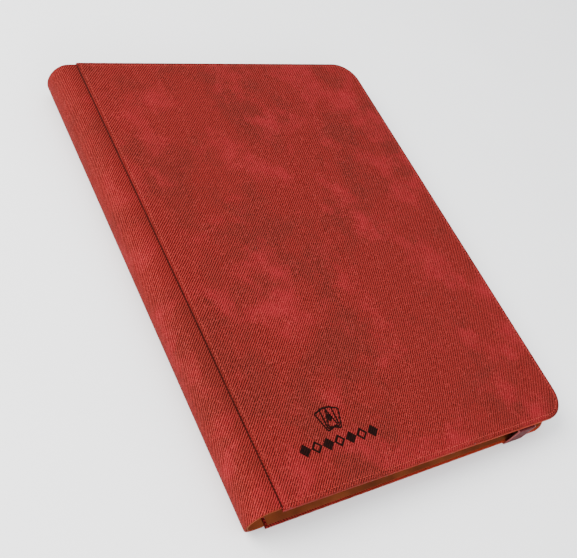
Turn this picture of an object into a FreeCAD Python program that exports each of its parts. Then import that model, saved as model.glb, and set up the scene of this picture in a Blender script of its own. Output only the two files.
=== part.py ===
import FreeCAD, Part
import math
import os

# Card album lying closed on its back cover. X runs from the spine to the fore edge,
# Y along the height of the page, Z up through the thickness. Sizes are in millimetres.
# The origin is at the middle of the album's footprint, on the surface it lies on.
# Inside the functions X is counted from the seam, where the cover panels meet the spine.

# Covers
cover_height = 320.0
cover_width = 232.8
corner_radius = 17.5
thickness_at_seam = 27.6
thickness_at_fore_edge = 21.4
skin_thickness = 0.8
padding_thickness = 1.0
board_thickness = 1.6
lining_thickness = 0.4
turned_edge = 4.5
lining_inset = 1.2
board_start = 0.9

# Topstitching round each cover panel
stitch_from_edge = 2.8
stitch_from_seam = 2.0
stitch_width = 0.6
stitch_depth = 0.4

# Spine
spine_bulge = 17.0
spine_flat = 6.4
spine_end_recess = 1.5
spine_skin_thickness = 1.0
spine_padding_thickness = 0.6
spine_lining_thickness = 0.4
hinge_from_seam = 0.8
hinge_clearance = 0.1
flange_width = 12.0
flange_side_gap = 0.2

# Binding strip and the leaves it carries
strip_thickness = 1.2
leaf_count = 20
leaf_height = 296.0
leaf_corner = 8.0
leaf_from_fore_edge = 6.0
sheet_thickness = 0.2
film_thickness = 0.1
crease_bead_radius = 0.2
crease_gap = 0.1
stack_clearance = 0.5
leaf_clearance = 0.2
opened_clearance = 0.4
pocket_start = 12.0
pocket_columns = 3
pocket_weld = 2.0
film_margin = 1.0

# Elastic closing strap
strap_width = 16.5
strap_thickness = 0.8
strap_from_fore_edge = 38.3
strap_gap = 0.3
strap_lip = 8.3
groove_side_clearance = 0.3
pressed_skin = 0.6
anchor_length = 22.0
anchor_neck = 1.2

cover_thickness = skin_thickness + padding_thickness + board_thickness + lining_thickness
leaf_thickness = sheet_thickness + 2 * film_thickness
taper = math.atan((thickness_at_seam - thickness_at_fore_edge) / cover_width)
seam_x = (spine_bulge - cover_width) / 2
half_height = cover_height / 2

hinge_x = -hinge_from_seam
back_hinge_z = skin_thickness + spine_skin_thickness / 2
front_hinge_z = thickness_at_seam - back_hinge_z

strap_x = cover_width - strap_from_fore_edge
strap_arm_y = half_height + strap_gap
strap_far_x = strap_x + strap_width / 2
strap_top_z = (
    thickness_at_seam - cover_thickness - strap_far_x * math.tan(taper) - strap_gap
)
strap_pivot_z = strap_top_z - strap_thickness / 2

leaf_end = cover_width - leaf_from_fore_edge
lowest_leaf_z = cover_thickness + stack_clearance + leaf_thickness / 2
highest_leaf_z = thickness_at_seam - lowest_leaf_z
front_drop_at_leaf_end = leaf_end * math.tan(taper)
first_crease = (
    cover_thickness + leaf_thickness / 2 + opened_clearance - back_hinge_z + hinge_x
)
crease_step = leaf_thickness + leaf_clearance


def vector(x, y, z):
    return FreeCAD.Vector(x, y, z)


def block(x_low, x_high, y_low, y_high, z_low, z_high):
    size = (x_high - x_low, y_high - y_low, z_high - z_low)
    return Part.makeBox(*size, vector(x_low, y_low, z_low))


def outline_plate(x_start, x_end, half_width, radius, z_low, thickness):
    """Flat plate, square at x_start and with both corners rounded at x_end."""
    cut = radius * (1 - math.sqrt(0.5))
    start_low = vector(x_start, -half_width, z_low)
    end_low = vector(x_end - radius, -half_width, z_low)
    low_bend = vector(x_end - cut, -half_width + cut, z_low)
    side_low = vector(x_end, -half_width + radius, z_low)
    side_high = vector(x_end, half_width - radius, z_low)
    high_bend = vector(x_end - cut, half_width - cut, z_low)
    end_high = vector(x_end - radius, half_width, z_low)
    start_high = vector(x_start, half_width, z_low)
    edges = [
        Part.LineSegment(start_low, end_low),
        Part.Arc(end_low, low_bend, side_low),
        Part.LineSegment(side_low, side_high),
        Part.Arc(side_high, high_bend, end_high),
        Part.LineSegment(end_high, start_high),
        Part.LineSegment(start_high, start_low),
    ]
    wire = Part.Wire([edge.toShape() for edge in edges])
    return Part.Face(wire).extrude(vector(0, 0, thickness))


def cover_plate(x_start, inset, z_low, thickness):
    """Plate with the cover panel's outline, drawn in by inset on its three free edges."""
    return outline_plate(
        x_start,
        cover_width - inset,
        half_height - inset,
        corner_radius - inset,
        z_low,
        thickness,
    )


# Each cover is drawn lying on its outer face, at z = 0, with its lining on top.


def stitch_ring():
    half = stitch_width / 2
    outer = cover_plate(stitch_from_seam - half, stitch_from_edge - half, 0, stitch_depth)
    inner = cover_plate(stitch_from_seam + half, stitch_from_edge + half, 0, stitch_depth)
    return outer.cut(inner)


def strap_band(side, z_low, z_high, half_length):
    """The strip of the back cover that the closing strap crosses, with side to spare."""
    half_band = strap_width / 2 + side
    return block(
        strap_x - half_band, strap_x + half_band, -half_length, half_length, z_low, z_high
    )


def pressed_strip():
    """The skin under the strap, pushed down into the padding by the strap's thickness."""
    return strap_band(
        groove_side_clearance + pressed_skin,
        0,
        strap_thickness + pressed_skin,
        half_height - turned_edge,
    )


def strap_groove():
    return strap_band(groove_side_clearance, 0, strap_thickness, half_height)


def skin():
    """Outer wrap: a plate with its free edges turned round the board."""
    wrapped = padding_thickness + board_thickness
    whole = cover_plate(0, 0, 0, skin_thickness + wrapped)
    hollow = cover_plate(0, turned_edge, skin_thickness, wrapped)
    return whole.cut(hollow).cut(stitch_ring())


def padding():
    return cover_plate(flange_width, turned_edge, skin_thickness, padding_thickness)


def board():
    board_z = skin_thickness + padding_thickness
    return cover_plate(board_start, turned_edge, board_z, board_thickness)


def lining():
    lining_z = cover_thickness - lining_thickness
    return cover_plate(board_start, lining_inset, lining_z, lining_thickness)


def spine_flange():
    """The spine skin's edge, pared thin and sewn in between cover skin and board."""
    half_length = half_height - turned_edge - flange_side_gap
    flange_start = hinge_x + spine_skin_thickness / 2 + hinge_clearance
    return block(
        flange_start,
        flange_width,
        -half_length,
        half_length,
        skin_thickness,
        skin_thickness + padding_thickness,
    )


def strap_anchor(side):
    """One end of the strap: a tongue under the lining and a neck out through its slit."""
    outer_y = half_height - strap_lip
    tongue_z = cover_thickness - lining_thickness - strap_thickness
    low_x = strap_x - strap_width / 2
    tongue = block(
        low_x,
        strap_far_x,
        outer_y - anchor_length,
        outer_y,
        tongue_z,
        tongue_z + strap_thickness,
    )
    neck = block(
        low_x,
        strap_far_x,
        outer_y - anchor_neck,
        outer_y,
        tongue_z,
        cover_thickness,
    )
    anchor = tongue.fuse(neck).removeSplitter()
    if side < 0:
        anchor = anchor.mirror(vector(0, 0, 0), vector(0, 1, 0))
    return anchor


def strap_anchors():
    return Part.makeCompound([strap_anchor(-1), strap_anchor(1)])


def place_back(shape):
    shape.translate(vector(seam_x, 0, 0))
    return shape


def place_front(shape):
    """Turn a cover over onto the top of the album, sloping down to the fore edge."""
    placed = shape.mirror(vector(0, 0, 0), vector(0, 0, 1))
    placed.translate(vector(0, 0, thickness_at_seam))
    taper_degrees = math.degrees(taper)
    placed.rotate(vector(hinge_x, 0, front_hinge_z), vector(0, 1, 0), taper_degrees)
    placed.translate(vector(seam_x, 0, 0))
    return placed


def spine_section(inset):
    """D-shaped solid: flat at both hinges, rounded outwards, drawn in by inset."""
    low_z = skin_thickness + inset
    high_z = thickness_at_seam - low_z
    middle_z = thickness_at_seam / 2
    top = vector(-spine_flat, 0, high_z)
    bottom = vector(-spine_flat, 0, low_z)
    outermost = vector(inset - spine_bulge, 0, middle_z)
    centre = vector(-spine_flat, 0, middle_z)
    oval = Part.Ellipse(top, outermost, centre)
    edges = [
        Part.LineSegment(vector(hinge_x, 0, high_z), top),
        Part.ArcOfEllipse(oval, 0, math.pi),
        Part.LineSegment(bottom, vector(hinge_x, 0, low_z)),
        Part.LineSegment(vector(hinge_x, 0, low_z), vector(hinge_x, 0, high_z)),
    ]
    wire = Part.Wire([edge.toShape() for edge in edges])
    half_length = half_height - spine_end_recess
    section = Part.Face(wire).extrude(vector(0, 2 * half_length, 0))
    section.translate(vector(0, -half_length, 0))
    return section


def spine_layer(outer_inset, thickness):
    return spine_section(outer_inset).cut(spine_section(outer_inset + thickness))


def rod(x, z, radius, half_length):
    start = vector(x, -half_length, z)
    return Part.makeCylinder(radius, 2 * half_length, start, vector(0, 1, 0))


def spine_skin():
    """Outer layer of the spine, with a rounded edge on each hinge line."""
    wrap = spine_layer(0, spine_skin_thickness)
    half_length = half_height - spine_end_recess
    for hinge_z in (back_hinge_z, front_hinge_z):
        wrap = wrap.fuse(rod(hinge_x, hinge_z, spine_skin_thickness / 2, half_length))
    return wrap.removeSplitter()


def spine_padding():
    return spine_layer(spine_skin_thickness, spine_padding_thickness)


def spine_lining():
    outer_inset = spine_skin_thickness + spine_padding_thickness
    return spine_layer(outer_inset, spine_lining_thickness)


def binding_strip():
    """Stiff strip across the mouth of the spine, which the leaf tabs are welded to."""
    spine_wall = spine_skin_thickness + spine_padding_thickness + spine_lining_thickness
    low_z = skin_thickness + spine_wall
    half_length = leaf_height / 2
    return block(
        hinge_x - strip_thickness,
        hinge_x,
        -half_length,
        half_length,
        low_z,
        thickness_at_seam - low_z,
    )


def crease_x(number):
    """Leaves near the middle of the stack fold further from the binding strip."""
    from_cover = min(number - 1, leaf_count - number)
    return first_crease + from_cover * crease_step


def crease_z(number):
    pitch = (highest_leaf_z - lowest_leaf_z) / (leaf_count - 1)
    return highest_leaf_z - (number - 1) * pitch


def leaf_slope(number):
    """Angle of a leaf below level, so that the stack is evenly spaced at both ends."""
    share = (leaf_count - number) / (leaf_count - 1)
    drop = front_drop_at_leaf_end * share
    return math.atan(drop / (leaf_end - crease_x(number)))


def leaf_tab(number):
    end_x = crease_x(number) - crease_bead_radius - crease_gap
    half_sheet = sheet_thickness / 2
    return block(
        hinge_x,
        end_x,
        -leaf_height / 2,
        leaf_height / 2,
        crease_z(number) - half_sheet,
        crease_z(number) + half_sheet,
    )


def leaf_tabs():
    return Part.makeCompound([leaf_tab(number) for number in range(1, leaf_count + 1)])


def place_leaf(shape, number):
    """Move a leaf drawn level from its crease to its slope and place in the stack."""
    shape.rotate(vector(0, 0, 0), vector(0, 1, 0), math.degrees(leaf_slope(number)))
    shape.translate(vector(seam_x + crease_x(number), 0, crease_z(number)))
    return shape


def leaf_sheet(number):
    """Opaque middle sheet of one leaf, with a bead along its crease."""
    length = leaf_end - crease_x(number)
    plate = outline_plate(
        0, length, leaf_height / 2, leaf_corner, -sheet_thickness / 2, sheet_thickness
    )
    bead = rod(0, 0, crease_bead_radius, leaf_height / 2)
    return place_leaf(plate.fuse(bead).removeSplitter(), number)


def film_columns(number, z_low):
    """Clear film on one face of a leaf, in a separate strip for each pocket column."""
    start = pocket_start - crease_x(number)
    end = leaf_end - film_margin - crease_x(number)
    half_film = leaf_height / 2 - film_margin
    film = outline_plate(
        start, end, half_film, leaf_corner - film_margin, z_low, film_thickness
    )
    column_pitch = (end - start + pocket_weld) / pocket_columns
    for column in range(1, pocket_columns):
        gap_end = start + column * column_pitch
        gap = block(
            gap_end - pocket_weld,
            gap_end,
            -half_film,
            half_film,
            z_low,
            z_low + film_thickness,
        )
        film = film.cut(gap)
    return film.Solids


def leaf_pockets(number):
    upper = film_columns(number, sheet_thickness / 2)
    lower = film_columns(number, -sheet_thickness / 2 - film_thickness)
    return place_leaf(Part.makeCompound(upper + lower), number)


def rounded_ring_plate(half_width, z_low, z_high, radius):
    """Plate in the YZ plane with four rounded corners, as wide in X as the strap."""
    low_x = strap_x - strap_width / 2
    plate = block(low_x, strap_far_x, -half_width, half_width, z_low, z_high)
    long_edges = [edge for edge in plate.Edges if abs(edge.tangentAt(0).x) > 0.9]
    return plate.makeFillet(radius, long_edges)


def closing_strap():
    """Elastic band under the back cover, up both ends and in under the front cover."""
    outer = rounded_ring_plate(
        strap_arm_y + strap_thickness, 0, strap_top_z, strap_gap + strap_thickness
    )
    inner = rounded_ring_plate(
        strap_arm_y, strap_thickness, strap_top_z - strap_thickness, strap_gap
    )
    mouth_half = half_height - strap_lip
    mouth = block(
        strap_x - strap_width,
        strap_x + strap_width,
        -mouth_half,
        mouth_half,
        strap_pivot_z - strap_thickness,
        strap_top_z + strap_thickness,
    )
    return outer.cut(inner).cut(mouth)


def save(name, shape):
    shape.exportStep("parts/" + name + ".step")


def save_back_cover():
    groove = strap_groove()
    pressed = pressed_strip()
    back_skin = skin().fuse(pressed).cut(groove).removeSplitter()
    save("back_skin", place_back(back_skin))
    save("back_padding", place_back(padding().cut(pressed)))
    save("back_board", place_back(board()))
    save("back_lining", place_back(lining()))
    save("back_stitching", place_back(stitch_ring().cut(groove)))
    save("back_spine_flange", place_back(spine_flange()))


def save_front_cover():
    anchors = strap_anchors()
    save("front_skin", place_front(skin()))
    save("front_padding", place_front(padding()))
    save("front_board", place_front(board().cut(anchors)))
    save("front_lining", place_front(lining().cut(anchors)))
    save("front_stitching", place_front(stitch_ring()))
    save("front_spine_flange", place_front(spine_flange()))
    save("strap_anchors", place_front(anchors))


def save_spine():
    save("spine_skin", place_back(spine_skin()))
    save("spine_padding", place_back(spine_padding()))
    save("spine_lining", place_back(spine_lining()))
    save("binding_strip", place_back(binding_strip()))
    save("leaf_tabs", place_back(leaf_tabs()))


def save_leaves():
    for number in range(1, leaf_count + 1):
        name = "leaf_{:02d}".format(number)
        save(name + "_sheet", leaf_sheet(number))
        save(name + "_pockets", leaf_pockets(number))


os.makedirs("parts", exist_ok=True)
save_back_cover()
save_front_cover()
save_spine()
save_leaves()
save("closing_strap", place_back(closing_strap()))
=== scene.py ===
import math

import bmesh
import bpy
from mathutils import Matrix, Vector


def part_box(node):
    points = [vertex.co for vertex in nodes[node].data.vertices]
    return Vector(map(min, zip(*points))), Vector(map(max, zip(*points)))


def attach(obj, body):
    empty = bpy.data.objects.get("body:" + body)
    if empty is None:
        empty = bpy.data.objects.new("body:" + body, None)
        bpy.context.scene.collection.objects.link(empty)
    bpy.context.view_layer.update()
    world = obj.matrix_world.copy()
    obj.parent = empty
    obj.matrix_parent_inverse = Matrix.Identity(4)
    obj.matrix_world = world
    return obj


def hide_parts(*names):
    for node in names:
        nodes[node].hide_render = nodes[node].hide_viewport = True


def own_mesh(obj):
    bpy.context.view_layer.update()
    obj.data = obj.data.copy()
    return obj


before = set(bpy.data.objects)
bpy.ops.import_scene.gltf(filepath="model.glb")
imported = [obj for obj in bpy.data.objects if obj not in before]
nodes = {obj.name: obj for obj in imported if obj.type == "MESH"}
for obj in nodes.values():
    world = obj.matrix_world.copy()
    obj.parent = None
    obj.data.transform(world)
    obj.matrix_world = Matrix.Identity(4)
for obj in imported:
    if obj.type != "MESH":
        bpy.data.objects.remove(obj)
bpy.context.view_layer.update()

# Where the built parts lie. Everything is in metres, in the album's own frame.
panel_low, panel_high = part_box("back_skin")
seam = panel_low.x
cover_width = panel_high.x - panel_low.x
half_height = panel_high.y
wrap_depth = panel_high.z
lining_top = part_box("back_lining")[1].z
spine_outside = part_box("spine_skin")[0].x - seam
spine_half_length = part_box("spine_skin")[1].y
strap_low, strap_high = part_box("closing_strap")

# Covers, as the maker lays one out: its outer face at 0, its lining upwards.
thickness_at_seam = 0.0276
thickness_at_fore_edge = 0.0214
corner_radius = 0.0175
corner_steps = 14
skin_thickness = 0.0008
foam_thickness = 0.001
foam_bevel = 0.0002
turned_edge = 0.0045
flange_width = 0.012
board_start = 0.0009
lining_inset = 0.0012
lining_bevel = 0.00012
slit_width = 0.0012
rim_radius = 0.0013
inner_rim_radius = 0.0005
seam_side = 0.0042
rim_height = 0.0006
# Painted shade along the seam and the cover edges: how far it reaches, and how dark it
# is at the seam.
edge_shade_width = 0.0018
seam_shade_depth = 0.35
clear_of_seam = 0.003
seam_wall = 0.001
wall_start = 0.0004
wall_depth = 0.0009
stitch_from_edge = 0.0028
stitch_from_seam = 0.002
stitch_pitch = 0.0023
stitch_size = (0.0017, 0.0006, 0.00046)
stitch_slant = math.radians(9)
stitch_height = 0.00026
hinge_from_seam = 0.0008
hinge_height = 0.0013
hinge_strip_tuck = 0.0002
hinge_strip_lap = 0.00005
hinge_strip_bevel = 0.00015
taper = math.atan((thickness_at_seam - thickness_at_fore_edge) / cover_width)

# Spine, from the outside in
spine_skin_thickness = 0.001
spine_skin_puff = 0.00028
spine_skin_bevel = 0.0004
spine_foam_thickness = 0.0006
spine_foam_start = 0.002
spine_lining_thickness = 0.0004
spine_layer_bevel = 0.0001
spine_end_ring = 0.0012
spine_edge_zone = 0.0003
# Painted shade on the spine: how far it reaches from the hinge, how dark there, and how
# dark at the ends.
spine_shade_width = 0.0012
spine_seam_shade_depth = 0.4
spine_end_shade_depth = 0.8
# Share of the cut edge's colour, lightened as painted light, at the spine's ends.
spine_end_turned_and_lit = 0.25
spine_middle = thickness_at_seam / 2
spine_flat = -0.0064

# Strap, counted from the seam
strap_middle = (strap_low.x + strap_high.x) / 2 - seam
strap_width = strap_high.x - strap_low.x
strap_thickness = 0.0008
strap_gap = 0.0003
strap_lip = 0.0083
strap_bevel = 0.00018
strap_pivot = strap_high.z - strap_thickness / 2
pressed_skin = 0.0006
pressed_depth = strap_thickness + pressed_skin
groove_room = 0.0003

# Leaves and their pockets, counted from the seam
leaf_count = 20
leaf_end = 0.2268
sheet_thickness = 0.0002
crease_bead_radius = 0.0002
film_thickness = 0.0001
film_puff = 0.00004
pocket_start = 0.012
pocket_end = 0.2258
pocket_half_height = 0.147
pocket_corner = 0.007
pockets_each_way = 3
weld_width = 0.0018
mouth_lip = 0.0012
pocket_slope = 0.0035

# Printed mark, from the seam and from the middle of the cover's height
ink_thickness = 0.00003
fan_x, fan_y = 0.0525, -0.1275
card_width, card_height = 0.0094, 0.0134
card_corner, card_line = 0.0015, 0.001
card_lift = 0.0085
card_turns = (18, -18, 0)
heart_size = 0.0042
lozenge_count = 7
lozenge_size, lozenge_line = 0.0064, 0.0014
lozenge_narrowing = 0.75
lozenge_start, lozenge_y, lozenge_pitch = 0.0275, -0.1335, 0.0081

NEAR = 0.00002
FACING = 0.99


# --- working at the bench ---------------------------------------------------


def put_down():
    """Leaves nothing selected, so that a tool works on the new piece alone."""
    if bpy.context.mode != "OBJECT":
        bpy.ops.object.mode_set(mode="OBJECT")
    bpy.ops.object.select_all(action="DESELECT")


def take_up(piece):
    put_down()
    piece.select_set(True)
    bpy.context.view_layer.objects.active = piece


def open_up(piece):
    take_up(piece)
    bpy.ops.object.mode_set(mode="EDIT")


def close_up():
    bpy.ops.object.mode_set(mode="OBJECT")


def pick(kind, test):
    """Selects the points, edges or faces of the open piece that pass the test."""
    mode = {"verts": "VERT", "edges": "EDGE", "faces": "FACE"}[kind]
    bpy.ops.mesh.select_mode(type=mode)
    bpy.ops.mesh.select_all(action="DESELECT")
    mesh = bmesh.from_edit_mesh(bpy.context.object.data)
    for part in getattr(mesh, kind):
        if test(part):
            part.select_set(True)
    mesh.select_flush_mode()
    bmesh.update_edit_mesh(bpy.context.object.data)


def middle(part):
    """The middle of an edge or a face."""
    total = Vector((0, 0, 0))
    for corner in part.verts:
        total += corner.co
    return total / len(part.verts)


def all_at(part, axis, value):
    return all(abs(corner.co[axis] - value) < NEAR for corner in part.verts)


def block(name, low, high):
    """A plain block between two corners."""
    put_down()
    low, high = Vector(low), Vector(high)
    bpy.ops.mesh.primitive_cube_add(size=1, location=(low + high) / 2, scale=high - low)
    piece = bpy.context.object
    piece.name = name
    piece.data.name = name
    bpy.ops.object.transform_apply(location=True, rotation=True, scale=True)
    return piece


def finish_with(piece, kind, **settings):
    """Adds a modifier to the piece and applies it."""
    take_up(piece)
    modifier = piece.modifiers.new(kind.lower(), kind)
    for key, value in settings.items():
        setattr(modifier, key, value)
    bpy.ops.object.modifier_apply(modifier=modifier.name)


def cut_with(piece, tool, way="DIFFERENCE"):
    finish_with(piece, "BOOLEAN", operation=way, object=tool, solver="EXACT")
    bpy.data.objects.remove(tool)


def settle(piece, place):
    """Moves a finished piece to its place, with the place in its mesh."""
    take_up(piece)
    piece.matrix_world = place
    bpy.ops.object.transform_apply(location=True, rotation=True, scale=True)


def round_off(piece, width, steps=2, angle=40):
    finish_with(
        piece,
        "BEVEL",
        width=width,
        segments=steps,
        limit_method="ANGLE",
        angle_limit=math.radians(angle),
        use_clamp_overlap=True,
    )


def smooth(piece, angle=35):
    take_up(piece)
    bpy.ops.object.shade_smooth_by_angle(angle=math.radians(angle))


def dress(piece, finish):
    piece.data.materials.clear()
    piece.data.materials.append(finish)


# --- finishes ---------------------------------------------------------------


class Finish:
    """One material's nodes, put together one after another."""

    def __init__(self, name):
        self.material = bpy.data.materials.new(name)
        self.material.use_nodes = True
        self.tree = self.material.node_tree
        self.shader = self.tree.nodes["Principled BSDF"]

    def give(self, socket, value):
        if isinstance(value, bpy.types.NodeSocket):
            self.tree.links.new(value, socket)
        else:
            socket.default_value = value

    def node(self, kind, inputs=None, **settings):
        made = self.tree.nodes.new("ShaderNode" + kind)
        for key, value in settings.items():
            setattr(made, key, value)
        for key, value in (inputs or {}).items():
            self.give(made.inputs[key], value)
        return made

    def sum(self, operation, first, second=0.0, third=0.0):
        made = self.node("Math", {0: first, 1: second, 2: third}, operation=operation)
        return made.outputs[0]

    def noise(self, vector, scale, detail=2.0, roughness=0.5):
        inputs = {"Vector": vector, "Scale": scale}
        inputs.update({"Detail": detail, "Roughness": roughness})
        return self.node("TexNoise", inputs).outputs["Fac"]

    def spread(self, value, low, high, new_low=0.0, new_high=1.0):
        """The value stretched from one range to another, and kept inside it."""
        inputs = {"Value": value, 1: low, 2: high, 3: new_low, 4: new_high}
        return self.node("MapRange", inputs, clamp=True).outputs[0]

    def mix(self, share, first, second, blend="MIX"):
        made = self.node("Mix", data_type="RGBA", blend_type=blend)
        self.give(made.inputs[0], share)
        self.give(made.inputs[6], first)
        self.give(made.inputs[7], second)
        return made.outputs[2]

    def place(self):
        return self.node("TexCoord").outputs["Object"]

    def bump(self, height, depth, strength=1.0, normal=None):
        inputs = {"Height": height, "Distance": depth, "Strength": strength}
        if normal:
            inputs["Normal"] = normal
        return self.node("Bump", inputs).outputs["Normal"]

    def shade(self, **inputs):
        for key, value in inputs.items():
            self.give(self.shader.inputs[key.replace("_", " ")], value)
        return self.material


def paint(red, green, blue):
    """A colour named by its 0 to 255 screen values."""
    def linear(value):
        value = value / 255
        return value / 12.92 if value <= 0.04045 else ((value + 0.055) / 1.055) ** 2.4

    return (linear(red), linear(green), linear(blue), 1.0)


rib_pitch = 0.00129
rib_angle = math.radians(46.5)
yarn_length = 0.0026
cord_pitch = 0.0011
pick_pitch = 0.0007
# Width of the painted highlight along each edge of the elastic.
edge_highlight_width = 0.0012
edge_highlight_edge = 0.0009


def twill_parts(finish, flat):
    """The ribs of the twill, and the places where they are rubbed away."""
    place = finish.node("SeparateXYZ", {0: flat})
    x, y = place.outputs[0], place.outputs[1]
    across = finish.sum(
        "ADD",
        finish.sum("MULTIPLY", x, -math.sin(rib_angle)),
        finish.sum("MULTIPLY", y, math.cos(rib_angle)),
    )
    along = finish.sum(
        "ADD",
        finish.sum("MULTIPLY", x, math.cos(rib_angle)),
        finish.sum("MULTIPLY", y, math.sin(rib_angle)),
    )
    wander = finish.sum("SUBTRACT", finish.noise(flat, scale=260.0, detail=2.0), 0.5)
    ribs = finish.sum(
        "ADD",
        finish.sum("DIVIDE", across, rib_pitch),
        finish.sum("MULTIPLY", wander, 0.6),
    )
    wave = finish.sum("SINE", finish.sum("MULTIPLY", ribs, 2 * math.pi))
    rounded = finish.spread(wave, -1.0, 1.0)
    yarn = finish.node(
        "CombineXYZ",
        {
            0: finish.sum("DIVIDE", across, rib_pitch),
            1: finish.sum("DIVIDE", along, yarn_length),
            2: 0.0,
        },
    ).outputs[0]
    breaks = finish.spread(finish.noise(yarn, scale=1.0, detail=1.0), 0.3, 0.66)
    return rounded, breaks


def twill_cloth():
    """Brushed microfibre twill: ribs, nap, and soft darker and brighter clouds."""
    finish = Finish("microfibre_twill")
    place = finish.place()
    flat = finish.node("UVMap", uv_map="cloth").outputs[0]
    ribs, breaks = twill_parts(finish, flat)
    clouds = finish.noise(place, scale=24.0, detail=6.0, roughness=0.62)
    elsewhere = finish.node("Mapping", {"Vector": place, "Location": (3.1, 1.7, 0.4)})
    patches = finish.noise(elsewhere.outputs[0], scale=30.0, detail=5.0, roughness=0.6)
    rubbed = finish.spread(patches, 0.51, 0.68)
    nap = finish.noise(place, scale=2600.0, detail=3.0, roughness=0.6)
    flecks = finish.noise(place, scale=1700.0, detail=1.0, roughness=0.5)
    ribbed = finish.sum(
        "MULTIPLY",
        finish.sum("SUBTRACT", 1.0, finish.sum("MULTIPLY", rubbed, 0.55)),
        finish.sum("ADD", finish.sum("MULTIPLY", breaks, 0.55), 0.5),
    )
    height = finish.sum(
        "ADD",
        finish.sum("MULTIPLY", finish.sum("SUBTRACT", ribs, 0.5), ribbed),
        0.5,
    )
    brown, red, crimson = paint(64, 18, 4), paint(102, 13, 9), paint(144, 12, 34)
    cloud = finish.mix(finish.spread(clouds, 0.42, 0.54), brown, red)
    cloud = finish.mix(finish.sum("MULTIPLY", rubbed, 0.9), cloud, crimson)
    # Painted shade in the twill's grooves and painted highlight on its rib tops, over
    # the ribs' own relief.
    groove = finish.mix(1.0, cloud, paint(72, 26, 22), "MULTIPLY")
    top = finish.mix(0.34, cloud, paint(170, 59, 55))
    cloth = finish.mix(finish.spread(height, 0.2, 0.76), groove, top)
    shaded = finish.spread(nap, 0.3, 0.75, 0.0, 0.25)
    cloth = finish.mix(shaded, cloth, paint(92, 14, 10))
    bright = finish.spread(flecks, 0.52, 0.72, 0.0, 0.34)
    cloth = finish.mix(bright, cloth, paint(184, 68, 64))
    dark = finish.spread(flecks, 0.48, 0.28, 0.0, 0.34)
    cloth = finish.mix(dark, cloth, paint(60, 7, 4))
    # Painted shade: the cloth is darkened along the seam, the cover edges and the
    # spine's ends.
    painted_edge_shade = finish.node("Attribute", attribute_name="seam_and_edge_shade").outputs["Fac"]
    cloth = finish.mix(finish.sum("MULTIPLY", painted_edge_shade, 0.55), cloth, paint(72, 14, 7))
    # The walls and turned edges take the cut cloth's own orange-brown, made lighter
    # than it as painted light on the walls.
    turned_and_lit = finish.node("Attribute", attribute_name="turned_and_lit").outputs["Fac"]
    cut = finish.spread(nap, 0.35, 0.7)
    edge = finish.mix(cut, paint(134, 40, 19), paint(160, 58, 30))
    cloth = finish.mix(finish.sum("MULTIPLY", turned_and_lit, 0.7), cloth, edge)
    napped = finish.bump(nap, 0.00012, 0.5)
    relief = finish.bump(height, 0.0004, 0.9, napped)
    rough = finish.spread(height, 0.0, 1.0, 0.9, 0.72)
    return finish.shade(
        Base_Color=cloth,
        Roughness=rough,
        Normal=relief,
        Sheen_Weight=0.02,
        Sheen_Roughness=0.4,
        Sheen_Tint=paint(255, 130, 120),
        Specular_IOR_Level=0.04,
    )


def thread_finish():
    finish = Finish("sewing_thread")
    place = finish.place()
    twist = finish.noise(place, scale=3200.0, detail=1.0)
    plies = finish.spread(twist, 0.3, 0.7)
    colour = finish.mix(plies, paint(126, 30, 22), paint(158, 54, 44))
    return finish.shade(
        Base_Color=colour,
        Roughness=0.55,
        Normal=finish.bump(twist, 0.0001, 0.6),
        Specular_IOR_Level=0.2,
    )


def soft_lining(name, dark, light):
    """Brushed microfibre lining, close and matt, with a fine nap."""
    finish = Finish(name)
    place = finish.place()
    nap = finish.noise(place, scale=1800.0, detail=3.0, roughness=0.6)
    clouds = finish.noise(place, scale=45.0, detail=3.0)
    colour = finish.mix(finish.spread(clouds, 0.35, 0.65), dark, light)
    colour = finish.mix(finish.spread(nap, 0.35, 0.7, 0.0, 0.4), colour, dark)
    return finish.shade(
        Base_Color=colour,
        Roughness=0.9,
        Normal=finish.bump(nap, 0.00015, 0.5),
        Sheen_Weight=0.02,
        Sheen_Roughness=0.5,
        Specular_IOR_Level=0.05,
    )


def elastic_weave():
    """Woven elastic: fine cords along its length, and a painted highlight along each
    edge.
    """
    finish = Finish("woven_elastic")
    place = finish.place()
    split = finish.node("SeparateXYZ", {0: place})
    across = finish.sum("MULTIPLY", split.outputs[0], 2 * math.pi / cord_pitch)
    cords = finish.sum("SINE", across)
    run = finish.sum("ADD", split.outputs[1], split.outputs[2])
    picks = finish.sum("SINE", finish.sum("MULTIPLY", run, 2 * math.pi / pick_pitch))
    crossed = finish.sum("ADD", cords, finish.sum("MULTIPLY", picks, 0.5))
    weave = finish.spread(crossed, -1.5, 1.5)
    fibre = finish.noise(place, scale=2400.0, detail=2.0)
    colour = finish.mix(weave, paint(46, 9, 12), paint(84, 25, 28))
    shaded = finish.spread(fibre, 0.3, 0.7, 0.0, 0.25)
    colour = finish.mix(shaded, colour, paint(34, 6, 8))
    # Painted highlight: a paler stripe along each edge of the band.
    from_middle = finish.sum(
        "ABSOLUTE", finish.sum("SUBTRACT", split.outputs[0], strap_middle + seam)
    )
    edge_highlight = finish.spread(
        from_middle,
        strap_width / 2 - edge_highlight_width,
        strap_width / 2 - edge_highlight_edge,
        0.0,
        0.55,
    )
    colour = finish.mix(edge_highlight, colour, paint(146, 78, 76))
    return finish.shade(
        Base_Color=colour,
        Roughness=finish.spread(weave, 0.0, 1.0, 0.75, 0.6),
        Normal=finish.bump(weave, 0.00008, 0.6),
        Specular_IOR_Level=0.06,
    )


def grey_board():
    finish = Finish("grey_board")
    place = finish.place()
    fibre = finish.noise(place, scale=700.0, detail=4.0, roughness=0.6)
    colour = finish.mix(fibre, paint(128, 122, 112), paint(160, 154, 144))
    relief = finish.bump(fibre, 0.0001, 0.5)
    return finish.shade(Base_Color=colour, Roughness=0.9, Normal=relief)


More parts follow.
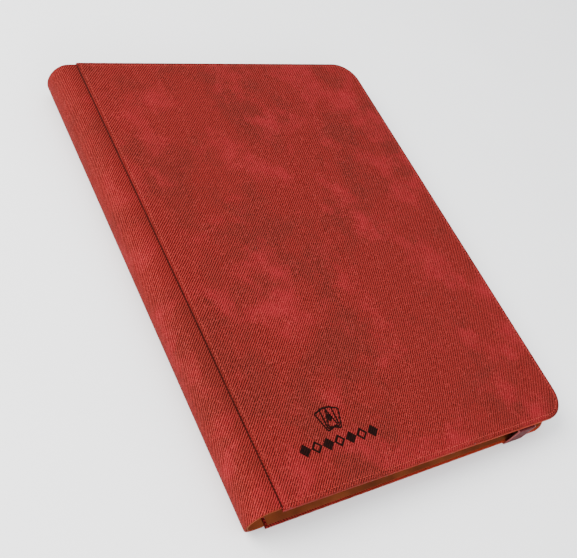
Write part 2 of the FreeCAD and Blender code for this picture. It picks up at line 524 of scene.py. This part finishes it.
def padding_foam():
    finish = Finish("padding_foam")
    place = finish.place()
    froth = finish.node("TexVoronoi", {"Vector": place, "Scale": 1600.0})
    cells = froth.outputs["Distance"]
    walls = finish.spread(cells, 0.0, 0.6)
    colour = finish.mix(walls, paint(34, 31, 30), paint(56, 52, 50))
    relief = finish.bump(cells, 0.0002, 0.6)
    return finish.shade(Base_Color=colour, Roughness=0.95, Normal=relief)


def leaf_plastic():
    """Black plastic sheet with a fine pressed grain."""
    finish = Finish("leaf_plastic")
    place = finish.place()
    grain = finish.noise(place, scale=500.0, detail=2.0)
    haze = finish.noise(place, scale=60.0, detail=3.0)
    tint = finish.spread(haze, 0.3, 0.7)
    colour = finish.mix(tint, paint(17, 17, 19), paint(25, 25, 28))
    rough = finish.spread(haze, 0.3, 0.7, 0.5, 0.62)
    return finish.shade(
        Base_Color=colour, Roughness=rough, Normal=finish.bump(grain, 0.000004, 0.3)
    )


def strip_plastic():
    finish = Finish("strip_plastic")
    place = finish.place()
    grain = finish.noise(place, scale=900.0, detail=3.0)
    colour = finish.mix(grain, paint(30, 29, 30), paint(42, 41, 42))
    return finish.shade(
        Base_Color=colour, Roughness=0.5, Normal=finish.bump(grain, 0.00008, 0.5)
    )


def pocket_film():
    """Clear soft film, smooth over the pockets and matt where it is welded down."""
    finish = Finish("pocket_film")
    place = finish.place()
    haze = finish.noise(place, scale=24.0, detail=2.0)
    welded = finish.node("Attribute", attribute_name="welded").outputs["Fac"]
    rough = finish.spread(haze, 0.3, 0.7, 0.14, 0.22)
    return finish.shade(
        Base_Color=finish.mix(welded, paint(84, 86, 92), paint(30, 30, 32)),
        Roughness=finish.sum("ADD", rough, finish.sum("MULTIPLY", welded, 0.35)),
        Specular_IOR_Level=0.8,
        Alpha=0.2,
    )


def print_ink():
    """Near-black ink pressed into the twill."""
    finish = Finish("pressed_ink")
    place = finish.place()
    ribs, breaks = twill_parts(finish, place)
    height = finish.sum("MULTIPLY", ribs, finish.sum("ADD", breaks, 0.3))
    raised = finish.spread(height, 0.2, 1.1)
    colour = finish.mix(raised, paint(13, 4, 3), paint(32, 9, 6))
    return finish.shade(
        Base_Color=colour,
        Roughness=0.8,
        Normal=finish.bump(height, 0.0002, 0.7),
        Specular_IOR_Level=0.04,
    )


def plain_floor():
    finish = Finish("pale_floor")
    grain = finish.noise(finish.place(), scale=8.0, detail=2.0)
    tint = finish.spread(grain, 0.3, 0.7)
    colour = finish.mix(tint, paint(248, 248, 248), paint(251, 251, 251))
    return finish.shade(Base_Color=colour, Roughness=0.85, Specular_IOR_Level=0.2)


cloth = twill_cloth()
thread = thread_finish()
# One lining cloth in two tones: darker in the covers as painted shade between them,
# lighter in the spine as painted light.
shaded_lining = soft_lining("cover_lining_painted_shade", paint(86, 40, 21), paint(114, 57, 31))
lit_spine_lining = soft_lining("spine_lining_painted_light", paint(106, 50, 27), paint(134, 67, 38))
# Painted shade: the hinge strips and spine flanges are near black so that the seam
# shows as a dark line of shade.
seam_shade_cloth = soft_lining("pared_hinge_seam_shade", paint(34, 6, 3), paint(50, 10, 6))
elastic = elastic_weave()
board_card = grey_board()
foam = padding_foam()
leaf_black = leaf_plastic()
strip_black = strip_plastic()
clear_film = pocket_film()
ink = print_ink()


# --- camera, lights and floor -----------------------------------------------


camera_place = (-0.35464, -0.25338, 0.43401)
camera_right = Vector((0.81186, -0.42595, 0.39932))
camera_up = Vector((0.14699, 0.81101, 0.56626))
camera_back = -Vector((0.56505, 0.40103, -0.72104))
camera_lens, camera_film = 57.34, 36.0
floor_size, floor_height = 8.0, -0.0004
aimed_at = (0, 0, 0.01)
key_place, key_colour = (-0.95, 0.35, 0.95), (1.0, 0.985, 0.965)
fill_place, fill_colour = (-0.3, -1.25, 0.4), (1.0, 0.985, 0.97)
room_colour, room_strength = (0.95, 0.97, 1.0, 1.0), 1.7


def set_camera():
    bpy.ops.object.camera_add(location=camera_place)
    camera = bpy.context.object
    turn = Matrix((camera_right, camera_up, camera_back)).transposed()
    camera.rotation_euler = turn.to_euler()
    camera.data.lens = camera_lens
    camera.data.sensor_width = camera_film
    camera.data.clip_start = 0.01
    bpy.context.scene.camera = camera


def set_light(name, place, size, power, colour):
    bpy.ops.object.light_add(type="AREA", location=place)
    light = bpy.context.object
    light.name = name
    aim = Vector(aimed_at) - Vector(place)
    light.rotation_euler = aim.to_track_quat("-Z", "Y").to_euler()
    light.data.shape = "DISK"
    light.data.size = size
    light.data.energy = power
    light.data.color = colour


def set_stage():
    put_down()
    bpy.ops.mesh.primitive_plane_add(size=floor_size, location=(0, 0, floor_height))
    floor = bpy.context.object
    floor.name = "floor"
    dress(floor, plain_floor())
    set_light("key", key_place, size=0.9, power=35.0, colour=key_colour)
    set_light("fill", fill_place, size=1.0, power=14.0, colour=fill_colour)
    world = bpy.data.worlds.new("soft_room")
    world.use_nodes = True
    background = world.node_tree.nodes["Background"]
    background.inputs["Color"].default_value = room_colour
    background.inputs["Strength"].default_value = room_strength
    bpy.context.scene.world = world


set_camera()
set_stage()


# --- covers -----------------------------------------------------------------

front_hinge = Vector((-hinge_from_seam, 0, thickness_at_seam - hinge_height))
lay_back = Matrix.Translation((seam, 0, 0))
lay_on_front = (
    lay_back
    @ Matrix.Translation(front_hinge)
    @ Matrix.Rotation(taper, 4, "Y")
    @ Matrix.Translation(-front_hinge)
    @ Matrix.Translation((0, 0, thickness_at_seam))
)
lay_front = lay_on_front @ Matrix.Rotation(math.pi, 4, "X")


def panel(name, start, inset, low, high):
    """A plate with a cover's outline: square at the seam, rounded at the fore edge."""
    half = half_height - inset
    piece = block(name, (start, -half, low), (cover_width - inset, half, high))
    open_up(piece)
    pick(
        "edges",
        lambda edge: all_at(edge, 0, cover_width - inset)
        and abs(edge.verts[0].co.z - edge.verts[1].co.z) > NEAR,
    )
    radius = corner_radius - inset
    bpy.ops.mesh.bevel(offset=radius, segments=corner_steps, affect="EDGES")
    close_up()
    return piece


def strap_channel(name, side, low, high, half_length):
    """The strip across a cover that lies under the strap."""
    half = strap_width / 2 + side
    return block(
        name,
        (strap_middle - half, -half_length, low),
        (strap_middle + half, half_length, high),
    )


# Rings of the wrap's outer face, from the rim inwards: how wide, and how far out.
# The second and third go down into the sewn channel, and the next come up out of it.
wrap_profile = (
    (0.0007, 0.0),
    (0.0004, -0.00008),
    (0.0004, -0.00027),
    (0.0004, 0.00027),
    (0.0006, 0.00012),
    (0.0022, 0.00006),
    (0.005, 0.00004),
    (0.004, 0.0),
)
face_rise = sum(rise for _, rise in wrap_profile)


def cover_wrap(name):
    """Cloth wrap of one cover: rolled rim, sewn channel and padded face."""
    piece = panel(name, 0, 0, 0, wrap_depth)
    open_up(piece)
    pick("edges", lambda edge: all_at(edge, 2, 0))
    bpy.ops.mesh.bevel(offset=rim_radius, segments=4, affect="EDGES")
    pick("edges", lambda edge: all_at(edge, 2, wrap_depth))
    bpy.ops.mesh.bevel(offset=inner_rim_radius, segments=2, affect="EDGES")
    pick("faces", lambda face: face.normal.z < -FACING and len(face.verts) > 8)
    for run, rise in wrap_profile:
        bpy.ops.mesh.inset(thickness=run, depth=rise, use_even_offset=True)
    pick("verts", lambda point: point.co.x < seam_side and point.co.z < rim_height)
    bpy.ops.transform.resize(
        value=(stitch_from_seam / stitch_from_edge, 1, 1), center_override=(0, 0, 0)
    )
    close_up()
    inset, low = turned_edge, skin_thickness
    board_low = low + foam_thickness
    cut_with(piece, panel("hollow", -inset, inset, low, board_low))
    start, low = board_start - NEAR, board_low - NEAR
    cut_with(piece, panel("hollow", start, inset, low, 2 * wrap_depth))
    return piece


def edge_of_cover(x, y):
    """How far a point of the cover is from its nearest edge, and which way that is."""
    core_x = cover_width - corner_radius
    core_y = half_height - corner_radius
    side = math.copysign(1, y)
    if x > core_x and abs(y) > core_y:
        reach = Vector((x - core_x, y - side * core_y))
        return corner_radius - reach.length, reach.normalized()
    edges = (
        (x, Vector((-1, 0))),
        (cover_width - x, Vector((1, 0))),
        (half_height - abs(y), Vector((0, side))),
    )
    return min(edges, key=lambda edge: edge[0])


def kept_in(value):
    """The value, kept between 0 and 1."""
    return min(1.0, max(0.0, value))


def unroll_cover(piece, place, front):
    """Gives the wrap the cloth's own measure, laid flat over its face and edges."""
    layer = piece.data.uv_layers.new(name="cloth")
    seam_and_edge_shade = piece.data.attributes.new("seam_and_edge_shade", "FLOAT", "POINT")
    turned_and_lit = piece.data.attributes.new("turned_and_lit", "FLOAT", "POINT")
    away = place.inverted()
    spread = []
    for point in piece.data.vertices:
        here = away @ point.co
        edge, outward = edge_of_cover(here.x, here.y)
        laid = here.xy + outward * max(here.z, 0)
        spread.append((laid.x, -laid.y) if front else (-laid.x, laid.y))
        # Painted shade by the seam and along the cover's edges.
        near_seam = seam_shade_depth * max(0.0, 1 - here.x / edge_shade_width)
        near_edge = kept_in(1 - edge / edge_shade_width) if here.x > clear_of_seam else 0.0
        # The walls below the face take the cut edge's colour, lightened as painted
        # light.
        below = kept_in((here.z - wall_start) / wall_depth)
        seam_and_edge_shade.data[point.index].value = max(near_seam, near_edge)
        turned_and_lit.data[point.index].value = below if here.x > seam_wall else 0.0
    for loop in piece.data.loops:
        layer.data[loop.index].uv = spread[loop.vertex_index]


def stitch_row(name):
    """A row of short slanted stitches all round a cover, lying in its channel."""
    put_down()
    bpy.ops.mesh.primitive_uv_sphere_add(
        segments=6, ring_count=4, radius=0.5, rotation=(0, math.pi / 2, 0)
    )
    stitch = bpy.context.object
    bpy.ops.object.transform_apply(location=True, rotation=True, scale=True)
    stitch.scale = stitch_size
    stitch.rotation_euler = (0, 0, stitch_slant)
    bpy.ops.object.transform_apply(location=True, rotation=True, scale=True)
    route = panel(name + "_route", stitch_from_seam, stitch_from_edge, 0, wrap_depth)
    open_up(route)
    pick("faces", lambda face: not all_at(face, 2, 0))
    bpy.ops.mesh.delete(type="FACE")
    pick("faces", lambda face: True)
    bpy.ops.mesh.delete(type="ONLY_FACE")
    close_up()
    take_up(route)
    bpy.ops.object.convert(target="CURVE")
    length = sum(
        (a.co.xyz - b.co.xyz).length
        for spline in route.data.splines
        for a, b in zip(spline.points, [*spline.points[1:], spline.points[0]])
    )
    count = round(length / stitch_pitch)
    finish_with(
        stitch,
        "ARRAY",
        count=count,
        use_relative_offset=False,
        use_constant_offset=True,
        constant_offset_displace=(length / count, 0, 0),
    )
    finish_with(stitch, "CURVE", object=route, deform_axis="POS_X")
    bpy.data.objects.remove(route)
    stitch.name = name
    stitch.data.name = name
    settle(stitch, Matrix.Translation((0, 0, stitch_height)))
    return stitch


def cover_lining(name, slits):
    """Lining glued over the turned edges, slit where the strap's ends go in."""
    piece = panel(name, board_start, lining_inset, wrap_depth, lining_top)
    if slits:
        for side in (-1, 1):
            far = half_height - strap_lip
            near = far - slit_width
            half = strap_width / 2
            cut_with(
                piece,
                block(
                    "slit",
                    (strap_middle - half, min(side * near, side * far), 0),
                    (strap_middle + half, max(side * near, side * far), 2 * lining_top),
                ),
            )
    round_off(piece, lining_bevel)
    return piece


def cover_foam(name):
    piece = panel(
        name, flange_width, turned_edge, skin_thickness, skin_thickness + foam_thickness
    )
    open_up(piece)
    pick("faces", lambda face: face.normal.z < -FACING)
    bpy.ops.mesh.inset(thickness=2 * foam_bevel, depth=0.0, use_even_offset=True)
    close_up()
    return piece


def hinge_strip(name):
    """The cloth that bridges the seam from the cover to the spine, end to end."""
    tuck, lap = hinge_strip_tuck, hinge_strip_lap
    half = spine_half_length - tuck
    piece = block(
        name,
        (-hinge_from_seam - tuck, -half, skin_thickness - lap),
        (tuck / 2, half, skin_thickness + foam_thickness + lap),
    )
    round_off(piece, hinge_strip_bevel)
    return piece


def make_cover(side, place):
    """All the soft parts of one cover, laid in place."""
    front = side == "front"
    wrap = cover_wrap(side + "_cover_wrap")
    padding = cover_foam(side + "_cover_foam")
    if not front:
        side_room = groove_room + pressed_skin
        reach = half_height - turned_edge + NEAR
        inside = skin_thickness / 2
        beyond = 2 * half_height
        pressed = strap_channel("pressed", side_room, inside, pressed_depth, reach)
        cut_with(wrap, pressed, "UNION")
        cut_with(
            wrap, strap_channel("groove", groove_room, -beyond, strap_thickness, beyond)
        )
        cut_with(
            padding, strap_channel("pressed", side_room, -beyond, pressed_depth, beyond)
        )
    round_off(padding, foam_bevel)
    stitches = stitch_row(side + "_topstitching")
    lining = cover_lining(side + "_cover_lining", front)
    bridge = hinge_strip(side + "_hinge_strip")
    pieces = (wrap, padding, stitches, lining, bridge)
    for piece in pieces:
        settle(piece, place)
        smooth(piece)
        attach(piece, side + "_cover")
    unroll_cover(wrap, place, front)
    dress(wrap, cloth)
    dress(padding, foam)
    dress(stitches, thread)
    dress(lining, shaded_lining)
    dress(bridge, seam_shade_cloth)
    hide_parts(side + "_skin")
    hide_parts(side + "_padding")
    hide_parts(side + "_stitching")
    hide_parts(side + "_lining")


make_cover("back", lay_back)
make_cover("front", lay_front)


# --- printed mark -----------------------------------------------------------


def printed_shape(width, height, corner, line, place):
    """One shape of the print: a flat plate of ink, or its outline if line is set."""
    put_down()
    bpy.ops.mesh.primitive_plane_add(size=1, location=(0, 0, 0))
    shape = bpy.context.object
    shape.scale = (width, height, 1)
    bpy.ops.object.transform_apply(location=True, rotation=True, scale=True)
    open_up(shape)
    bpy.ops.mesh.select_all(action="SELECT")
    if corner:
        bpy.ops.mesh.bevel(offset=corner, segments=4, affect="VERTICES")
    if line:
        pick("faces", lambda face: True)
        bpy.ops.mesh.inset(thickness=line, depth=0.0)
        bpy.ops.mesh.delete(type="FACE")
    close_up()
    finish_with(shape, "SOLIDIFY", thickness=ink_thickness, offset=1.0)
    settle(shape, place)
    return shape


def make_mark():
    """A fan of three cards over a row of lozenges, printed near the foot."""
    shapes = []
    for step, turn in enumerate(card_turns):
        lean = Matrix.Rotation(math.radians(turn), 4, "Z")
        lift = Matrix.Translation((fan_x, fan_y, face_rise + step * ink_thickness / 3))
        card = Matrix.Translation((0, card_lift, 0))
        place = lift @ lean @ card
        shapes.append(
            printed_shape(card_width, card_height, card_corner, card_line, place)
        )
    heart = Matrix.Translation((fan_x, fan_y + card_lift, face_rise))
    quarter = Matrix.Rotation(math.pi / 4, 4, "Z")
    narrow = Matrix.Diagonal((lozenge_narrowing, 1, 1, 1))
    place = heart @ narrow @ quarter
    shapes.append(printed_shape(heart_size, heart_size, 0, 0, place))
    for step in range(lozenge_count):
        x = lozenge_start + step * lozenge_pitch
        place = Matrix.Translation((x, lozenge_y, face_rise)) @ narrow @ quarter
        line = lozenge_line if step % 2 else 0
        shapes.append(printed_shape(lozenge_size, lozenge_size, 0, line, place))
    take_up(shapes[0])
    for shape in shapes:
        shape.select_set(True)
    bpy.ops.object.join()
    mark = bpy.context.object
    mark.name = "printed_card_mark"
    mark.data.name = mark.name
    settle(mark, lay_on_front)
    dress(mark, ink)
    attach(mark, "front_cover")


make_mark()


# --- spine ------------------------------------------------------------------


def spine_shell(
    name, outer, thickness, half_length, steps, puff=0.0, start=hinge_from_seam
):
    """One layer of the spine: flat by each hinge, and rounded outwards between."""
    top = thickness_at_seam - skin_thickness - outer + puff
    radius = top - spine_middle
    put_down()
    bpy.ops.mesh.primitive_plane_add(
        size=1, location=((spine_flat - start) / 2, 0, top)
    )
    piece = bpy.context.object
    piece.name = name
    piece.data.name = name
    piece.scale = (-spine_flat - start, 2 * half_length, 1)
    bpy.ops.object.transform_apply(location=True, rotation=True, scale=True)
    open_up(piece)
    pick("edges", lambda edge: all_at(edge, 0, spine_flat))
    bpy.ops.mesh.spin(
        steps=steps, angle=math.pi, center=(spine_flat, 0, spine_middle), axis=(0, 1, 0)
    )
    pick("verts", lambda point: spine_flat - point.co.x > NEAR)
    bulge = (spine_flat - spine_outside - outer) / radius
    bpy.ops.transform.resize(value=(bulge, 1, 1), center_override=(spine_flat, 0, 0))
    pick(
        "edges",
        lambda edge: all_at(edge, 0, spine_flat) and middle(edge).z < spine_middle,
    )
    bpy.ops.mesh.extrude_edges_move(
        TRANSFORM_OT_translate={"value": (-spine_flat - start, 0, 0)}
    )
    bpy.ops.mesh.select_all(action="SELECT")
    bpy.ops.mesh.remove_doubles(threshold=NEAR)
    bpy.ops.mesh.normals_make_consistent(inside=False)
    end = half_length - spine_end_ring
    for step in range(-4, 5):
        bpy.ops.mesh.select_all(action="SELECT")
        bpy.ops.mesh.bisect(plane_co=(0, step / 4 * end, 0), plane_no=(0, 1, 0))
    mesh = bmesh.from_edit_mesh(piece.data)
    outermost = min(mesh.faces, key=lambda face: middle(face).x)
    if outermost.normal.x > 0:
        bpy.ops.mesh.flip_normals()
    close_up()
    finish_with(
        piece, "SOLIDIFY", thickness=thickness, offset=-1.0, use_even_offset=True
    )
    return piece


def unroll_spine(piece):
    """The cloth's measure round the spine, carried on from the front cover."""
    layer = piece.data.uv_layers.new(name="cloth")
    seam_and_edge_shade = piece.data.attributes.new("seam_and_edge_shade", "FLOAT", "POINT")
    turned_and_lit = piece.data.attributes.new("turned_and_lit", "FLOAT", "POINT")
    across = spine_flat - spine_outside
    upright = spine_middle - skin_thickness
    round_radius = (across + upright) / 2
    spread = []
    for point in piece.data.vertices:
        x = point.co.x - seam
        rise = point.co.z - spine_middle
        if x > spine_flat:
            run = -x if rise > 0 else math.pi * round_radius + x - 2 * spine_flat
        else:
            angle = math.atan2((spine_flat - x) / across, rise / upright)
            run = angle * round_radius - spine_flat
        spread.append((-run, point.co.y))
        # Painted shade by the hinge and at the spine's ends. The ends also take some of
        # the lightened edge colour.
        at_end = abs(point.co.y) > spine_half_length - spine_edge_zone
        from_hinge = (-x - hinge_from_seam) / spine_shade_width
        near_seam = spine_seam_shade_depth * max(0.0, 1 - from_hinge)
        seam_and_edge_shade.data[point.index].value = spine_end_shade_depth if at_end else near_seam
        turned_and_lit.data[point.index].value = spine_end_turned_and_lit if at_end else 0.0
    for loop in piece.data.loops:
        layer.data[loop.index].uv = spread[loop.vertex_index]


def make_spine():
    foam_outer = spine_skin_thickness
    lining_outer = spine_skin_thickness + spine_foam_thickness
    wrap = spine_shell(
        "spine_wrap",
        0,
        spine_skin_thickness + spine_skin_puff,
        spine_half_length,
        steps=32,
        puff=spine_skin_puff,
    )
    round_off(wrap, spine_skin_bevel, 3, 60)
    padding = spine_shell(
        "spine_foam",
        foam_outer,
        spine_foam_thickness,
        spine_half_length - turned_edge,
        steps=24,
        start=spine_foam_start,
    )
    round_off(padding, spine_layer_bevel, 1, 60)
    inside = spine_shell(
        "spine_inner_lining",
        lining_outer,
        spine_lining_thickness,
        spine_half_length,
        steps=24,
    )
    round_off(inside, spine_layer_bevel, 1, 60)
    for piece in (wrap, padding, inside):
        settle(piece, lay_back)
        smooth(piece)
        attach(piece, "spine")
    unroll_spine(wrap)
    dress(wrap, cloth)
    dress(padding, foam)
    dress(inside, lit_spine_lining)
    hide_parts("spine_skin")
    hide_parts("spine_padding")
    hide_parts("spine_lining")
    for piece in (wrap, padding, inside):
        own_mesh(piece)


make_spine()


# --- strap ------------------------------------------------------------------


def make_strap():
    """Elastic band: under the back cover, up both ends and in under the front."""
    half = strap_thickness / 2
    outer_y = strap_high.y
    bend = strap_gap + half
    put_down()
    bpy.ops.mesh.primitive_plane_add(
        size=1, location=(strap_middle, (outer_y - half - bend) / 2, half)
    )
    piece = bpy.context.object
    piece.name = "closing_band"
    piece.data.name = "closing_band"
    piece.scale = (strap_width, outer_y - half - bend, 1)
    bpy.ops.object.transform_apply(location=True, rotation=True, scale=True)
    open_up(piece)
    pick("edges", lambda edge: edge.calc_length() < strap_width + NEAR)
    bpy.ops.mesh.subdivide(number_cuts=14)
    pick("edges", lambda edge: edge.calc_length() > 5 * strap_width)
    bpy.ops.mesh.subdivide(number_cuts=10)
    turn_y = outer_y - half - bend
    pick("edges", lambda edge: all_at(edge, 1, turn_y))
    bpy.ops.mesh.spin(
        steps=5, angle=-math.pi / 2, center=(0, turn_y, half + bend), axis=(1, 0, 0)
    )
    rise = (strap_pivot - half - 2 * bend) / 6
    for _ in range(6):
        bpy.ops.mesh.extrude_edges_move(
            TRANSFORM_OT_translate={"value": (0, 0, rise)}
        )
    bpy.ops.mesh.spin(
        steps=5,
        angle=-math.pi / 2,
        center=(0, turn_y, strap_pivot - bend),
        axis=(1, 0, 0),
    )
    run = (turn_y - (half_height - strap_lip)) / 3
    for _ in range(3):
        bpy.ops.mesh.extrude_edges_move(TRANSFORM_OT_translate={"value": (0, -run, 0)})
    bpy.ops.mesh.select_all(action="SELECT")
    bpy.ops.mesh.remove_doubles(threshold=NEAR)
    close_up()
    finish_with(piece, "MIRROR", use_axis=(False, True, False), merge_threshold=NEAR)
    open_up(piece)
    bpy.ops.mesh.select_all(action="SELECT")
    bpy.ops.mesh.remove_doubles(threshold=NEAR)
    bpy.ops.mesh.normals_make_consistent(inside=False)
    close_up()
    finish_with(piece, "SOLIDIFY", thickness=strap_thickness, offset=0.0)
    round_off(piece, strap_bevel, 2, 60)
    settle(piece, lay_back)
    smooth(piece, 50)
    dress(piece, elastic)
    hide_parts("closing_strap")
    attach(piece, "closing_strap")
    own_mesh(piece)


make_strap()


# --- pockets of the leaves --------------------------------------------------


def weld_edges(low, high):
    """Both edges of each weld that shares a length out into pockets."""
    for step in range(1, pockets_each_way):
        line = low + (high - low) * step / pockets_each_way
        yield line - weld_width / 2
        yield line + weld_width / 2


def pocket_film_sheet(name):
    """Clear film for one face of a leaf, welded into three rows of three pockets."""
    put_down()
    low, high = pocket_start, pocket_end
    half = pocket_half_height
    bpy.ops.mesh.primitive_plane_add(size=1, location=((low + high) / 2, 0, 0))
    film = bpy.context.object
    film.name = name
    film.scale = (high - low, 2 * half, 1)
    bpy.ops.object.transform_apply(location=True, rotation=True, scale=True)
    open_up(film)
    pick("verts", lambda point: point.co.x > low + NEAR)
    bpy.ops.mesh.bevel(offset=pocket_corner, segments=5, affect="VERTICES")
    for x in weld_edges(low, high):
        bpy.ops.mesh.select_all(action="SELECT")
        bpy.ops.mesh.bisect(plane_co=(x, 0, 0), plane_no=(1, 0, 0))
    for y in weld_edges(-half, half):
        bpy.ops.mesh.select_all(action="SELECT")
        bpy.ops.mesh.bisect(plane_co=(0, y, 0), plane_no=(0, 1, 0))
    half_a_pocket = (high - low) * half / pockets_each_way**2
    pick("faces", lambda face: face.calc_area() > half_a_pocket)
    bpy.ops.mesh.inset(thickness=weld_width / 2, use_individual=True)
    bpy.ops.mesh.inset(thickness=mouth_lip, depth=film_puff, use_individual=True)
    bpy.ops.mesh.inset(thickness=pocket_slope, depth=film_puff / 2, use_individual=True)
    close_up()
    welded = film.data.attributes.new("welded", "FLOAT", "POINT")
    for point in film.data.vertices:
        welded.data[point.index].value = 1.0 if point.co.z < film_puff / 2 else 0.0
    finish_with(film, "SOLIDIFY", thickness=film_thickness, offset=1.0)
    return film


def make_pockets():
    """Two films on every leaf, alike but for the leaf's own place and slope."""
    upper = pocket_film_sheet("upper_film")
    lower = upper.copy()
    lower.data = upper.data.copy()
    bpy.context.collection.objects.link(lower)
    rise = Matrix.Translation((0, 0, sheet_thickness / 2 + NEAR / 2))
    settle(upper, rise)
    settle(lower, Matrix.Rotation(math.pi, 4, "X") @ rise)
    take_up(upper)
    lower.select_set(True)
    bpy.ops.object.join()
    pair = bpy.context.object
    for number in range(1, leaf_count + 1):
        leaf = "leaf_{:02d}".format(number)
        sheet_low, sheet_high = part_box(leaf + "_sheet")
        crease = Vector(
            (sheet_low.x + crease_bead_radius, 0, sheet_high.z - crease_bead_radius)
        )
        drop = leaf_end * math.tan(taper) * (leaf_count - number) / (leaf_count - 1)
        slope = math.atan(drop / (leaf_end + seam - crease.x))
        films = pair.copy()
        films.data = pair.data.copy()
        films.name = leaf + "_films"
        films.data.name = films.name
        bpy.context.collection.objects.link(films)
        settle(
            films,
            Matrix.Translation(crease)
            @ Matrix.Rotation(slope, 4, "Y")
            @ Matrix.Translation((seam - crease.x, 0, 0)),
        )
        smooth(films, 30)
        dress(films, clear_film)
        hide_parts(leaf + "_pockets")
        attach(films, leaf)
    bpy.data.objects.remove(pair)


make_pockets()


# --- parts that stay as built -----------------------------------------------

for name, finish in (
    ("back_board", board_card),
    ("front_board", board_card),
    ("back_spine_flange", seam_shade_cloth),
    ("front_spine_flange", seam_shade_cloth),
    ("strap_anchors", elastic),
    ("binding_strip", strip_black),
    ("leaf_tabs", leaf_black),
):
    dress(nodes[name], finish)

for number in range(1, leaf_count + 1):
    leaf = "leaf_{:02d}".format(number)
    dress(nodes[leaf + "_sheet"], leaf_black)
